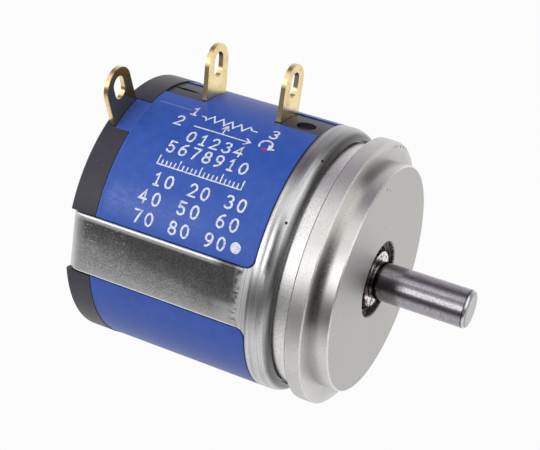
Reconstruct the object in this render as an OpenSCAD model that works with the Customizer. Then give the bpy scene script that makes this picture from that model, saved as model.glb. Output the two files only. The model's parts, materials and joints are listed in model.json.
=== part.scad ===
// Ten-turn rotary potentiometer with a servo mount and ball bearings.
// Millimetres. X runs along the shaft towards its free end and Z towards terminals 1 and 3.
// The origin is the centre of the flange's front face.

/* [Front plate] */
// pilot that centres the part in the panel
pilot_d = 19.05; // [15:0.01:20]
// how far the pilot stands out of the flange
pilot_h = 1.5875; // [0.8:0.01:3]
// how far the flange stands out round the pilot
flange_step = 1.585; // [1:0.005:2.5]
// flange thickness
flange_t = 1.4; // [1:0.05:2.5]
// depth of the clamp groove below the edge of the flange, or of the body where that is the smaller
clamp_groove_depth = 0.91; // [0.5:0.01:1.5]
// clamp groove width between the flange and the ring's lip
clamp_groove_w = 1.37; // [1:0.01:2.5]
// small chamfer on the turned edges
edge_chamfer = 0.12; // [0.05:0.01:0.3]
// spigot that enters the housing
spigot_l = 1.7; // [1:0.1:3]
// spigot wall
spigot_wall = 1.4; // [0.8:0.1:3]
// depth of the turned recess in the plate's rear face
plate_recess = 0.9; // [0.3:0.1:1.5]
// wall of the bearing boss at its root
boss_wall = 1.4; // [0.8:0.1:2]
// how much thinner the boss is at its end
boss_taper = 0.4; // [0:0.1:0.8]
// how far the boss ends before the spigot
boss_short = 0.5; // [0.2:0.1:1]

/* [Shaft] */
// shaft diameter
shaft_d = 3.175; // [3:0.005:6.35]
// shaft tip in front of the flange face
shaft_reach = 9.53; // [6:0.01:22]
// rounding at the tip
tip_round = 0.3; // [0.1:0.01:0.6]
// chamfer at the hidden rear end, and its distance from the rear bearing's face
rear_chamfer = 0.2; // [0.1:0.05:0.4]
// wire of the open retaining clip, along the shaft
clip_t = 0.3; // [0.2:0.05:0.5]
// how far the clip stands out of the shaft
clip_stand = 0.74; // [0.4:0.02:1]
// depth of the clip groove in the shaft
clip_groove_depth = 0.2; // [0.1:0.05:0.4]
// how far the groove reaches back behind the clip
clip_groove_back = 0.2; // [0:0.05:0.3]
// play between the clip and the front of its groove
clip_play = 0.07; // [0.05:0.01:0.15]
// opening of the clip, in degrees
clip_gap = 70; // [30:1:120]
// middle of that opening, in degrees from Z towards Y
clip_turn = 115; // [0:5:355]
// shim between the clip and the bearing
shim_t = 0.08; // [0.03:0.01:0.3]
// wall of the spacers on the shaft
spacer_wall = 0.42; // [0.3:0.01:0.5]
// length of the rear spacer
rear_spacer_l = 0.77; // [0.4:0.01:2]

/* [Bearings] */
// bearing outer diameter
bearing_d = 6.35; // [6:0.01:8]
// bearing width
bearing_w = 2.38; // [1.5:0.01:3]
// ball diameter
ball_d = 0.76; // [0.6:0.01:0.9]
// ball count
ball_count = 8; // [6:1:9]
// wall of both rings at their lands
race_wall = 0.47; // [0.4:0.01:0.6]
// front bearing's face below the pilot face
bearing_recess = 0.55; // [0.5:0.05:1.5]
// cage thickness across the ring
cage_t = 0.3; // [0.2:0.05:0.4]
// cage rim beyond the balls on each side
cage_rim = 0.17; // [0.1:0.01:0.25]
// play between a ball and its pocket
pocket_play = 0.01; // [0.01:0.01:0.05]

/* [Body] */
// diameter over the label
body_d = 22.4; // [22:0.05:24]
// label thickness
label_t = 0.1; // [0.05:0.01:0.2]
// housing wall
housing_wall = 2.05; // [1.5:0.05:3]
// length of the label along the shaft
label_l = 13.98; // [12:0.01:30]
// flange face to the label's front edge
label_front = 4.72; // [4:0.01:6]
// rear cover length that shows behind the label
cover_l = 2.28; // [1.8:0.01:4]
// how far the rear cover stands out round the label
cover_step = 0.05; // [0:0.01:0.5]
// rear cover's spigot in the housing
cover_spigot_l = 0.8; // [0.5:0.1:1.5]
// wall of that spigot
cover_spigot_wall = 0.9; // [0.6:0.1:1.5]
// rear cover's end wall
cover_wall = 1.48; // [1:0.01:2]
// end wall left behind the rear bearing
bearing_wall = 0.75; // [0.5:0.05:1.2]
// wall of the boss that holds the rear bearing
hub_wall = 0.95; // [0.6:0.05:1.2]
// how far that boss ends below the bearing's face
hub_short = 0.1; // [0:0.05:0.5]
// terminal 1 back to the middle of the moulded slot
mark_slot_back = 2.6; // [2:0.1:4]
// length of the moulded slot
mark_slot_l = 2.6; // [1.5:0.1:3]
// width of the moulded slot
mark_slot_w = 0.46; // [0.2:0.02:1]
// how far the slot lies to the side of the terminals' line
mark_slot_side = 0.35; // [0:0.05:1]
// terminal 3 forward to the middle of the round recess
gate_front = 1.85; // [1.5:0.05:3]
// diameter of the round recess
gate_d = 1.6; // [1:0.02:2]
// how far the recess lies to the side of the terminals' line
gate_side = 0.68; // [0:0.02:1]
// depth of the moulded slot and of the recess
mark_depth = 0.35; // [0.1:0.05:0.6]

/* [Strap clip] */
// sheet thickness of the ring and its straps
strap_t = 0.38; // [0.25:0.01:0.6]
// width of each strap
strap_w = 5.0; // [3:0.05:7]
// how far a strap's flat outer face lies inside the label's radius
strap_sink = 0.15; // [0.05:0.01:0.3]
// outside radius of the fold at the rear end
strap_fold_r = 1.2; // [0.8:0.05:1.5]
// length of the tab folded on to the rear face
strap_tab_l = 2.9; // [2:0.1:5]
// radius of the ring's curled front edge
curl_r = 1.2; // [0.8:0.05:1.5]
// how far the front edge curls in, in degrees
curl_turn = 70; // [50:1:80]
// fillet where a strap leaves the ring
strap_fillet = 0.75; // [0.3:0.05:1.2]
// length of the curved root of a strap behind the ring
strap_root_l = 1.1; // [0.8:0.05:2]
// overlap of the curved root with the flat strap and with the ring
strap_lap = 0.3; // [0.2:0.05:0.6]

/* [Terminals] */
// terminal width
blade_w = 3.3; // [2.5:0.05:4]
// terminal thickness
blade_t = 0.4; // [0.3:0.05:0.6]
// terminal height above the label
blade_h = 4.35; // [3:0.05:8]
// width of the solder eye
eye_w = 1.4; // [1:0.05:2]
// length of the solder eye
eye_l = 2.1; // [1.5:0.05:3]
// metal left above the solder eye
eye_wall = 0.65; // [0.4:0.05:1]
// label's front edge back to terminal 3
terminal_3_back = 3.58; // [2:0.01:5]
// label's rear edge forward to terminal 1
terminal_1_front = 3.7; // [2:0.01:5]
// label's rear edge back to terminal 2
terminal_2_back = 1.4; // [1:0.01:2]
// angle from terminals 1 and 3 round to terminal 2
terminal_2_turn = 30; // [20:1:60]
// how far terminal 1 leans back
terminal_1_lean = 3.5; // [0:0.5:6]
// bare strip in the label on each side of a terminal
strip_margin = 0.285; // [0.1:0.005:1]
// label's rear tab on each side of terminal 2
tab_margin = 0.1; // [0.05:0.05:0.5]
// slip ring out to the foot of terminal 2
foot_out = 1.9; // [1.5:0.1:2.5]
// width of that foot
foot_w = 1.6; // [1:0.1:2]

/* [Winding and rotor] */
// turns of the coil
turns = 10; // [3:1:15]
// diameter of the wound core
coil_d = 0.52; // [0.3:0.01:0.55]
// wall of the rotor core
core_wall = 1.4; // [1:0.1:2]
// rotor end discs to the coil
disc_room = 0.6; // [0.4:0.1:2]
// rotor end disc thickness
disc_t = 0.55; // [0.4:0.05:1.2]
// front plate's spigot to the rotor's front disc
disc_gap = 0.25; // [0.1:0.05:0.5]
// thickness of each guide rail
rail_t = 0.8; // [0.5:0.05:1.2]
// guide rails to the coil
rail_room = 2.3; // [2:0.1:4]
// thickness of the rib opposite the rails
rib_t = 2.4; // [1.5:0.1:3]
// depth of the guide channel's floor in the core
channel_depth = 0.4; // [0.2:0.05:0.8]
// width of the carriage between the rails
carriage_w = 2.5; // [2:0.05:3]
// length of the carriage along the shaft
carriage_l = 2.0; // [1.6:0.05:3]
// carriage head below the contact
head_floor = 0.6; // [0.4:0.05:1]
// width of the contact's slot in the carriage head
head_slot_w = 1.2; // [1:0.1:1.6]
// how far the carriage reaches in between the turns
thread_depth = 0.06; // [0.02:0.01:0.2]
// room between the carriage's grooves and the turns
thread_room = 0.08; // [0.05:0.01:0.1]
// collector rod diameter
rod_d = 0.6; // [0.4:0.05:1]
// play between the collector rod and the rotor
rod_play = 0.005; // [0:0.005:0.02]
// slip ring's width
slip_ring_w = 1.4; // [0.8:0.1:2]
// slip ring and spring sheet thickness
contact_t = 0.2; // [0.1:0.01:0.3]
// radius of the wiper's contact tip
wiper_tip_r = 0.13; // [0.08:0.01:0.2]
// width of the wiper's spring
wiper_w = 0.8; // [0.5:0.1:1]
// length of the wiper's foot
wiper_foot_l = 0.7; // [0.5:0.1:1]
// width of the brush's spring arms
arm_w = 0.9; // [0.6:0.1:1.2]
// half length of an arm, across the slip ring
arm_reach = 1.7; // [1:0.1:2]
// length of an arm's foot and of its end
arm_foot = 0.4; // [0.3:0.05:0.6]
// brush base inside the slip ring's middle line
base_in = 0.6; // [0.4:0.1:1]
// brush base outside the slip ring's middle line
base_out = 1.0; // [0.6:0.1:1.5]
// first arm, in degrees from Z towards Y
arm_turn = 60; // [0:5:90]

/* [Fits] */
// gap between pieces that are assembled together
fit = 0.03; // [0:0.01:0.1]
// gap under the curved roots of the straps
root_gap = 0.1; // [0.05:0.01:0.2]
// running clearance on sliding pieces
run = 0.05; // [0.02:0.01:0.1]
// room round a turning piece
room = 0.35; // [0.2:0.05:0.6]
// gap between the label and the strap
label_gap = 0.1; // [0.05:0.01:0.2]

/* [Hidden] */
$fn = 96;
// coil segments a turn and sides of its section
coil_steps = 32;
coil_sides = 6;
// a cutter's overshoot
over = 0.5;
// room beyond the whole part, for cutters
far = 30;

pilot_r = pilot_d / 2;
flange_r = pilot_r + flange_step;
shaft_r = shaft_d / 2;
clip_inner_r = shaft_r - clip_groove_depth;
bearing_r = bearing_d / 2;
hub_r = bearing_r + hub_wall;
inner_land_r = shaft_r + race_wall;
outer_land_r = bearing_r - race_wall;
ball_r = ball_d / 2;
ball_pitch_r = (inner_land_r + outer_land_r) / 2;
body_r = body_d / 2;
clamp_groove_r = min(flange_r, body_r) - clamp_groove_depth;
housing_r = body_r - label_t;
bore_r = housing_r - housing_wall;
cover_r = body_r + cover_step;
coil_r = coil_d / 2;
coil_ring_r = bore_r - coil_r - fit;
coil_inner_r = coil_ring_r - coil_r;
core_r = shaft_r + core_wall;
disc_r = coil_inner_r - disc_room;
rail_r = coil_inner_r - rail_room;
channel_r = core_r - channel_depth;
rod_r = rod_d / 2;
rod_h = (core_r + rail_r) / 2;
slip_ring_r = max(rod_h + slip_ring_w / 2, hub_r + base_in + fit);
foot_r = slip_ring_r + foot_out;

// places along the shaft, all behind the flange face but the front bearing and the clip
seam_x = -label_front + fit;
label_rear_x = -label_front - label_l;
cover_front_x = label_rear_x - fit;
rear_x = cover_front_x - cover_l;
front_bearing_x = pilot_h - bearing_recess - bearing_w;
front_face_x = front_bearing_x + bearing_w;
clip_x = front_face_x + shim_t;
rear_bearing_x = rear_x + bearing_wall;
rear_face_x = rear_bearing_x + bearing_w;
terminal_3_x = -label_front - terminal_3_back;
terminal_1_x = label_rear_x + terminal_1_front;
terminal_2_x = label_rear_x - terminal_2_back;
cover_floor_x = rear_x + cover_wall;
coil_rear_x = terminal_1_x - blade_t / 2;
coil_front_x = terminal_3_x - blade_t / 2;
coil_mid_x = (coil_rear_x + coil_front_x) / 2;
coil_pitch = (coil_front_x - coil_rear_x) / turns;
rotor_front_x = seam_x - spigot_l - disc_gap;
rotor_rear_x = rear_face_x + rear_spacer_l;

// the strap clip's ring, curl, flat straps and folds
ring_inner_r = body_r - strap_t;
curl_x = -flange_t - clamp_groove_w - curl_r * sin(curl_turn);
strap_face = body_r - strap_sink;
strap_mid = strap_face - strap_t / 2;
fold_x = rear_x - fit + strap_fold_r;
recess_half = strap_w / 2 + label_gap + label_t;
recess_floor = strap_face - strap_t - label_t - 2 * fit;

// terminals and the label's cut-outs
eye_h = blade_h - eye_wall - eye_l / 2;
strip_half = blade_w / 2 + strip_margin;
tab_half = blade_w / 2 + tab_margin;

// a solid turned about the shaft axis, from points of radius and place along the shaft
module turned(points) {
  rotate([0, 90, 0]) rotate_extrude() polygon(points);
}

// a plain tube from one place to another
module tube(from_x, to_x, outer_r, inner_r) {
  turned([[inner_r, from_x], [outer_r, from_x], [outer_r, to_x], [inner_r, to_x]]);
}

// a rod along the shaft direction
module rod(from_x, to_x, r) {
  translate([from_x, 0, 0]) rotate([0, 90, 0]) cylinder(h = to_x - from_x, r = r);
}

// places children round the shaft, measured from Z towards Y
module round_at(angle) {
  rotate([-angle, 0, 0]) children();
}

// a box by its limits
module block(from, to) {
  translate(from) cube(to - from);
}

// Front plate

module mounting_flange() {
  shoulder_r = ring_inner_r - fit;
  shoulder_curl = curl_r - strap_t - fit;
  hole_r = shaft_r + spacer_wall + room;
  boss_x = seam_x - spigot_l + boss_short;
  color([0.72, 0.7, 0.68]) rotate([0, 90, 0]) rotate_extrude() difference() {
    polygon([
      [bearing_r, front_bearing_x],
      [bearing_r, pilot_h - edge_chamfer],
      [bearing_r + edge_chamfer, pilot_h],
      [pilot_r - edge_chamfer, pilot_h],
      [pilot_r, pilot_h - edge_chamfer],
      [pilot_r, 0],
      [flange_r - edge_chamfer, 0],
      [flange_r, -edge_chamfer],
      [flange_r, -flange_t + edge_chamfer],
      [flange_r - edge_chamfer, -flange_t],
      [clamp_groove_r, -flange_t],
      [clamp_groove_r, curl_x + shoulder_curl],
      [shoulder_r, curl_x + shoulder_curl],
      [shoulder_r, seam_x],
      [bore_r - fit, seam_x],
      [bore_r - fit, seam_x - spigot_l],
      [bore_r - fit - spigot_wall, seam_x - spigot_l],
      [bore_r - fit - spigot_wall, seam_x + plate_recess],
      [bearing_r + boss_wall, seam_x + plate_recess],
      [bearing_r + boss_wall - boss_taper, boss_x],
      [hole_r, boss_x],
      [hole_r, front_bearing_x]
    ]);
    // corner outside the rounded shoulder that the ring's lip curls over
    difference() {
      translate([clamp_groove_r, curl_x]) square([shoulder_r, shoulder_curl + over]);
      translate([shoulder_r - shoulder_curl, curl_x]) circle(r = shoulder_curl, $fn = 48);
    }
  }
}

// Ball bearings, drawn with the rear face at zero

module bearing_ring(inner, outer) {
  rotate([0, 90, 0]) rotate_extrude() difference() {
    translate([inner, 0]) square([outer - inner, bearing_w]);
    translate([ball_pitch_r, bearing_w / 2]) circle(r = ball_r + run / 2, $fn = 32);
  }
}

module bearing_balls() {
  for (i = [0 : ball_count - 1])
    round_at(i * 360 / ball_count)
      translate([bearing_w / 2, 0, ball_pitch_r]) sphere(r = ball_r, $fn = 32);
}

module bearing_cage() {
  cage_half = ball_r + cage_rim;
  difference() {
    tube(bearing_w / 2 - cage_half, bearing_w / 2 + cage_half,
      ball_pitch_r + cage_t / 2, ball_pitch_r - cage_t / 2);
    for (i = [0 : ball_count - 1])
      round_at(i * 360 / ball_count)
        translate([bearing_w / 2, 0, ball_pitch_r]) sphere(r = ball_r + pocket_play, $fn = 32);
  }
}

module at_front_bearing() {
  translate([front_bearing_x, 0, 0]) children();
}

module at_rear_bearing() {
  translate([rear_bearing_x, 0, 0]) children();
}

module front_outer_race() {
  color([0.78, 0.78, 0.8]) at_front_bearing() bearing_ring(outer_land_r, bearing_r);
}

module front_inner_race() {
  color([0.74, 0.74, 0.76]) at_front_bearing() bearing_ring(shaft_r, inner_land_r);
}

module front_balls() {
  color([0.8, 0.8, 0.82]) at_front_bearing() bearing_balls();
}

module front_cage() {
  color([0.55, 0.42, 0.3]) at_front_bearing() bearing_cage();
}

module rear_outer_race() {
  color([0.78, 0.78, 0.8]) at_rear_bearing() bearing_ring(outer_land_r, bearing_r);
}

module rear_inner_race() {
  color([0.74, 0.74, 0.76]) at_rear_bearing() bearing_ring(shaft_r, inner_land_r);
}

module rear_balls() {
  color([0.8, 0.8, 0.82]) at_rear_bearing() bearing_balls();
}

module rear_cage() {
  color([0.55, 0.42, 0.3]) at_rear_bearing() bearing_cage();
}

// Shaft and what it carries

module shaft() {
  rear_end_x = rear_bearing_x + rear_chamfer;
  groove_rear_x = clip_x - clip_groove_back;
  groove_front_x = clip_x + clip_t + clip_play;
  color([0.62, 0.6, 0.62]) rotate([0, 90, 0]) rotate_extrude() difference() {
    polygon([
      [0, rear_end_x],
      [shaft_r - rear_chamfer, rear_end_x],
      [shaft_r, rear_end_x + rear_chamfer],
      [shaft_r, groove_rear_x],
      [clip_inner_r, groove_rear_x],
      [clip_inner_r, groove_front_x],
      [shaft_r, groove_front_x],
      [shaft_r, shaft_reach],
      [0, shaft_reach]
    ]);
    // corner outside the rounded tip
    translate([shaft_r - tip_round, shaft_reach - tip_round]) difference() {
      square(tip_round + over);
      circle(r = tip_round, $fn = 32);
    }
  }
}

module clip_shim() {
  color([0.7, 0.68, 0.62]) tube(front_face_x, clip_x, inner_land_r - run, shaft_r);
}

module shaft_clip() {
  outer_r = shaft_r + clip_stand;
  end_r = (outer_r - clip_inner_r) / 2;
  gap_side = far * tan(clip_gap / 2);
  color([0.66, 0.64, 0.62]) round_at(clip_turn) {
    difference() {
      tube(clip_x, clip_x + clip_t, outer_r, clip_inner_r);
      translate([clip_x - over, 0, 0]) rotate([0, 90, 0]) linear_extrude(clip_t + 2 * over)
        polygon([[0, 0], [-far, gap_side], [-far, -gap_side]]);
    }
    for (side = [-1, 1])
      round_at(side * clip_gap / 2)
        translate([clip_x, 0, clip_inner_r + end_r]) rotate([0, 90, 0])
          cylinder(h = clip_t, r = end_r, $fn = 32);
  }
}

module front_spacer() {
  color([0.72, 0.7, 0.66]) tube(rotor_front_x, front_bearing_x, shaft_r + spacer_wall, shaft_r);
}

module rear_spacer() {
  color([0.72, 0.7, 0.66]) tube(rear_face_x, rotor_rear_x, shaft_r + spacer_wall, shaft_r);
}

// Strap clip: a ring with a curled front edge, and two straps folded over the rear

// sheet section of a strap, seen along it, with its rolled edges
module strap_section() {
  edge = (strap_w - strap_t) / 2;
  translate([-edge, -strap_t / 2]) square([2 * edge, strap_t]);
  for (side = [-1, 1]) translate([side * edge, 0]) circle(r = strap_t / 2, $fn = 32);
}

// flat strap, its fold and the tab on the rear face
module folded_strap() {
  translate([fold_x, 0, strap_mid]) rotate([90, 0, 90])
    linear_extrude(seam_x - strap_root_l + strap_lap - fold_x) strap_section();
  translate([fold_x, 0, strap_face - strap_fold_r]) rotate([90, 0, 0])
    rotate([0, 0, 90]) rotate_extrude(angle = 90)
      translate([strap_fold_r - strap_t / 2, 0]) rotate([0, 0, 90]) strap_section();
  translate([fold_x - strap_fold_r + strap_t / 2, 0, strap_face - strap_fold_r - strap_tab_l])
    rotate([0, 0, 90]) linear_extrude(strap_tab_l) strap_section();
}

// space taken by a strap and what lies outside it, grown by a gap
module strap_space(gap) {
  inner_fold = strap_fold_r - strap_t - gap;
  tab_end = strap_face - strap_fold_r - strap_tab_l - gap;
  inner_x = rear_x - fit + strap_t + gap;
  inner_y = strap_face - strap_t - gap;
  rotate([90, 0, 0]) translate([0, 0, -strap_w / 2 - label_gap])
    linear_extrude(strap_w + 2 * label_gap) difference() {
      translate([rear_x - over, tab_end]) square([far - rear_x, far - tab_end]);
      translate([inner_x + inner_fold, tab_end - over])
        square([far - inner_x, inner_y - tab_end + over]);
      translate([inner_x, tab_end - over])
        square([inner_fold + over, inner_y - inner_fold - tab_end + over]);
      translate([inner_x + inner_fold, inner_y - inner_fold]) circle(r = inner_fold, $fn = 48);
    }
}

module at_straps() {
  for (side = [-90, 90]) round_at(side) children();
}

// outline of a strap's root seen from outside, with its two fillets
module root_outline(gap) {
  half = strap_w / 2;
  translate([seam_x - strap_root_l - gap, -half - gap])
    square([strap_root_l + strap_lap + gap, strap_w + 2 * gap]);
  difference() {
    translate([seam_x - strap_fillet - gap, -half - strap_fillet - gap])
      square([strap_fillet + strap_lap + gap, strap_w + 2 * (strap_fillet + gap)]);
    for (side = [-1, 1])
      translate([seam_x - strap_fillet - gap, side * (half + strap_fillet + gap)])
        circle(r = strap_fillet, $fn = 32);
  }
}

// section of the ring: a plain band whose front edge curls in
module ring_section() {
  curl_y = body_r - curl_r;
  difference() {
    union() {
      translate([curl_y, seam_x]) square([curl_r, curl_x - seam_x]);
      translate([curl_y, curl_x]) circle(r = curl_r, $fn = 48);
    }
    translate([0, seam_x - far]) square([far, far]);
    translate([0, seam_x - over]) square([ring_inner_r, curl_x - seam_x + over]);
    translate([curl_y, curl_x]) {
      circle(r = curl_r - strap_t, $fn = 48);
      polygon([[0, 0], [far * cos(curl_turn), far * sin(curl_turn)], [-curl_r, far], [-curl_r, 0]]);
    }
  }
}

module strap_clip() {
  color([0.5, 0.5, 0.52]) union() {
    rotate([0, 90, 0]) rotate_extrude() ring_section();
    at_straps() {
      intersection() {
        tube(seam_x - strap_root_l, seam_x + strap_lap, body_r, ring_inner_r);
        linear_extrude(far) root_outline(0);
      }
      folded_strap();
    }
  }
}

// Body

module body_outline(r, half, floor_d) {
  difference() {
    circle(r = r);
    for (side = [-1, 1])
      translate([-half, side > 0 ? floor_d : -floor_d - far]) square([2 * half, far]);
  }
}

module terminal_slot(x, lean) {
  translate([x, 0, housing_r]) rotate([0, -lean, 0])
    block([-blade_t - fit, -blade_w / 2 - fit, -housing_wall - over], [fit, blade_w / 2 + fit, over]);
}

// the shape between two equal arcs
module lens(length, width) {
  arc_r = (length * length + width * width) / (4 * width);
  intersection_for(side = [-1, 1])
    translate([0, side * (arc_r - width / 2)]) circle(r = arc_r);
}

module housing() {
  mark_floor = housing_r - mark_depth;
  color([0.06, 0.06, 0.065]) difference() {
    translate([cover_front_x, 0, 0]) rotate([0, 90, 0])
      linear_extrude(seam_x - cover_front_x)
        body_outline(housing_r, recess_half, recess_floor);
    rod(cover_front_x - over, seam_x + over, bore_r);
    at_straps() difference() {
      linear_extrude(far) root_outline(label_gap);
      rod(-far, 0, ring_inner_r - root_gap);
    }
    terminal_slot(terminal_1_x, terminal_1_lean);
    terminal_slot(terminal_3_x, 0);
    translate([terminal_1_x - mark_slot_back, -mark_slot_side, mark_floor])
      linear_extrude(far) lens(mark_slot_l, mark_slot_w);
    translate([terminal_3_x + gate_front, -gate_side, mark_floor])
      cylinder(h = far, d = gate_d, $fn = 40);
  }
}

module label() {
  tab_x = terminal_2_x + fit;
  color([0.1, 0.2, 0.62]) difference() {
    translate([tab_x, 0, 0]) rotate([0, 90, 0]) linear_extrude(-label_front - tab_x) difference() {
      body_outline(body_r, recess_half - label_t, recess_floor + label_t);
      body_outline(housing_r, recess_half, recess_floor);
    }
    at_straps() linear_extrude(far) root_outline(label_gap);
    block([label_rear_x - over, -strip_half, 0], [terminal_1_x + fit, strip_half, far]);
    block([terminal_3_x - blade_t - fit, -strip_half, 0], [0, strip_half, far]);
    // behind the rear edge only the tab is left
    difference() {
      block([-far, -far, -far], [label_rear_x, far, far]);
      round_at(-terminal_2_turn) block([-far, -tab_half, 0], [0, tab_half, far]);
    }
  }
}

module rear_cover() {
  hub_x = rear_face_x - hub_short;
  spigot_r = bore_r - fit;
  spigot_x = cover_front_x + cover_spigot_l;
  color([0.07, 0.07, 0.075]) difference() {
    turned([
      [0, rear_x],
      [cover_r - edge_chamfer, rear_x],
      [cover_r, rear_x + edge_chamfer],
      [cover_r, cover_front_x],
      [spigot_r, cover_front_x],
      [spigot_r, spigot_x],
      [spigot_r - cover_spigot_wall, spigot_x],
      [spigot_r - cover_spigot_wall, cover_floor_x],
      [hub_r, cover_floor_x],
      [hub_r, hub_x],
      [bearing_r, hub_x],
      [bearing_r, rear_bearing_x],
      [0, rear_bearing_x]
    ]);
    at_straps() strap_space(fit);
    round_at(-terminal_2_turn) {
      // pocket under the label's tab
      difference() {
        block([terminal_2_x - fit, -tab_half - fit, 0], [0, tab_half + fit, far]);
        rod(-far, 0, housing_r);
      }
      // slot for terminal 2 and its foot
      block([terminal_2_x - blade_t - fit, -blade_w / 2 - fit, foot_r - fit],
        [terminal_2_x + fit, blade_w / 2 + fit, far]);
      block([terminal_2_x - blade_t / 2, -foot_w / 2 - fit, min(foot_r, spigot_r - cover_spigot_wall) - fit],
        [cover_floor_x + over, foot_w / 2 + fit, foot_r + blade_t + fit]);
    }
  }
}

// Terminals

module blade(inner_r) {
  round_c = body_r + blade_h - blade_w / 2;
  translate([-blade_t, 0, 0]) rotate([90, 0, 90]) linear_extrude(blade_t) difference() {
    union() {
      translate([-blade_w / 2, inner_r]) square([blade_w, round_c - inner_r]);
      translate([0, round_c]) circle(r = blade_w / 2, $fn = 64);
    }
    for (end = [-1, 1])
      translate([0, body_r + eye_h + end * (eye_l - eye_w) / 2]) circle(r = eye_w / 2, $fn = 32);
    translate([-eye_w / 2, body_r + eye_h - (eye_l - eye_w) / 2]) square([eye_w, eye_l - eye_w]);
  }
}

module leaning_blade(x, lean, inner_r) {
  translate([x, 0, housing_r]) rotate([0, -lean, 0]) translate([0, 0, -housing_r]) blade(inner_r);
}

module terminal_1() {
  color([0.8, 0.65, 0.36]) leaning_blade(terminal_1_x, terminal_1_lean, bore_r);
}

module terminal_3() {
  color([0.8, 0.65, 0.36]) leaning_blade(terminal_3_x, 0, bore_r);
}

module terminal_2() {
  color([0.8, 0.65, 0.36]) round_at(-terminal_2_turn) union() {
    translate([terminal_2_x, 0, 0]) blade(foot_r);
    block([terminal_2_x - blade_t / 2, -foot_w / 2, foot_r],
      [cover_floor_x + contact_t, foot_w / 2, foot_r + blade_t]);
  }
}

// Winding: a core wound with wire and laid as a screw in the housing bore

module resistance_element() {
  count = turns * coil_steps;
  points = [for (i = [0 : count]) let (a = i * 360 / coil_steps,
      x = coil_rear_x + coil_pitch * i / coil_steps)
    for (k = [0 : coil_sides - 1]) let (b = k * 360 / coil_sides,
        r = coil_ring_r + coil_r * cos(b))
      [x + coil_r * sin(b), r * sin(a), r * cos(a)]];
  sides = [for (i = [0 : count - 1]) for (k = [0 : coil_sides - 1])
    let (n = (k + 1) % coil_sides, p = i * coil_sides, q = p + coil_sides)
      [p + k, q + k, q + n, p + n]];
  first = [for (k = [0 : coil_sides - 1]) k];
  last = [for (k = [coil_sides - 1 : -1 : 0]) count * coil_sides + k];
  color([0.62, 0.5, 0.36]) polyhedron(points, concat([first, last], sides), convexity = 10);
}

// Rotor, carriage and the collector

module rotor_hub() {
  rail_in = carriage_w / 2 + run;
  rail_low = shaft_r + core_wall / 3;
  rear_disc_x = rotor_rear_x + disc_t;
  front_disc_x = rotor_front_x - disc_t;
  color([0.82, 0.8, 0.74]) difference() {
    union() {
      tube(rotor_rear_x, rotor_front_x, core_r, shaft_r);
      tube(rotor_rear_x, rear_disc_x, disc_r, shaft_r);
      tube(front_disc_x, rotor_front_x, disc_r, shaft_r);
      for (side = [-1, 1])
        block([rear_disc_x - disc_t / 2, side > 0 ? rail_in : -rail_in - rail_t, rail_low],
          [front_disc_x + disc_t / 2, side > 0 ? rail_in + rail_t : -rail_in, rail_r]);
      block([rear_disc_x - disc_t / 2, -rib_t / 2, -rail_r],
        [front_disc_x + disc_t / 2, rib_t / 2, -rail_low]);
    }
    translate([0, 0, rod_h]) rod(-far, 0, rod_r + rod_play);
    block([rear_disc_x, -rail_in, channel_r], [front_disc_x, rail_in, rail_r]);
  }
}

module contact_carriage() {
  head_half = carriage_w / 2 + run + rail_t;
  head_low = rail_r + run;
  half_l = carriage_l / 2;
  grooves = ceil(half_l / coil_pitch);
  color([0.9, 0.88, 0.82]) translate([coil_mid_x, 0, 0]) difference() {
    intersection() {
      union() {
        block([-half_l, -carriage_w / 2, channel_r + run], [half_l, carriage_w / 2, far]);
        block([-half_l, -head_half, head_low], [half_l, head_half, far]);
      }
      rod(-far, far, coil_inner_r + thread_depth);
    }
    for (k = [-grooves : grooves])
      translate([k * coil_pitch, 0, 0]) rotate([0, 90, 0]) rotate_extrude()
        translate([coil_ring_r, 0]) circle(r = coil_r + thread_room, $fn = 24);
    translate([0, 0, rod_h]) rod(-far, far, rod_r + run);
    block([-far, -head_slot_w / 2, head_low + head_floor], [far, head_slot_w / 2, far]);
  }
}

module wiper_contact() {
  half_l = carriage_l / 2;
  seat = rail_r + run + head_floor;
  tip = coil_inner_r - run - fit - wiper_tip_r;
  bend = wiper_foot_l - half_l;
  color([0.85, 0.75, 0.5]) translate([coil_mid_x, wiper_w / 2, 0]) rotate([90, 0, 0])
    linear_extrude(wiper_w) union() {
      polygon([
        [-half_l, seat], [bend, seat], [wiper_tip_r, tip], [-wiper_tip_r, tip],
        [bend - contact_t, seat + contact_t], [-half_l, seat + contact_t]
      ]);
      translate([0, tip]) circle(r = wiper_tip_r, $fn = 24);
    }
}

module collector_rod() {
  color([0.85, 0.78, 0.6]) translate([0, 0, rod_h]) rod(rotor_rear_x, rotor_front_x, rod_r);
}

module slip_ring() {
  color([0.85, 0.78, 0.6])
    tube(rotor_rear_x - contact_t, rotor_rear_x, slip_ring_r + slip_ring_w / 2, rod_h - rod_d);
}

module collector_brush() {
  plate_x = cover_floor_x + contact_t;
  tip_x = rotor_rear_x - contact_t - run - contact_t;
  rim_r = slip_ring_r + base_out;
  color([0.85, 0.75, 0.5]) union() {
    tube(cover_floor_x, plate_x, rim_r, slip_ring_r - base_in);
    round_at(-terminal_2_turn)
      block([cover_floor_x, -foot_w / 2, rim_r - arm_foot], [plate_x, foot_w / 2, foot_r]);
    for (side = [0, 180])
      round_at(side + arm_turn) translate([0, 0, slip_ring_r - arm_w / 2])
        linear_extrude(arm_w) union() {
          polygon([
            [cover_floor_x, -arm_reach], [tip_x, arm_reach],
            [tip_x, arm_reach + arm_foot], [cover_floor_x, arm_foot - arm_reach]
          ]);
          translate([tip_x, arm_reach + arm_foot / 2]) circle(r = contact_t, $fn = 24);
        }
  }
}

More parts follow.
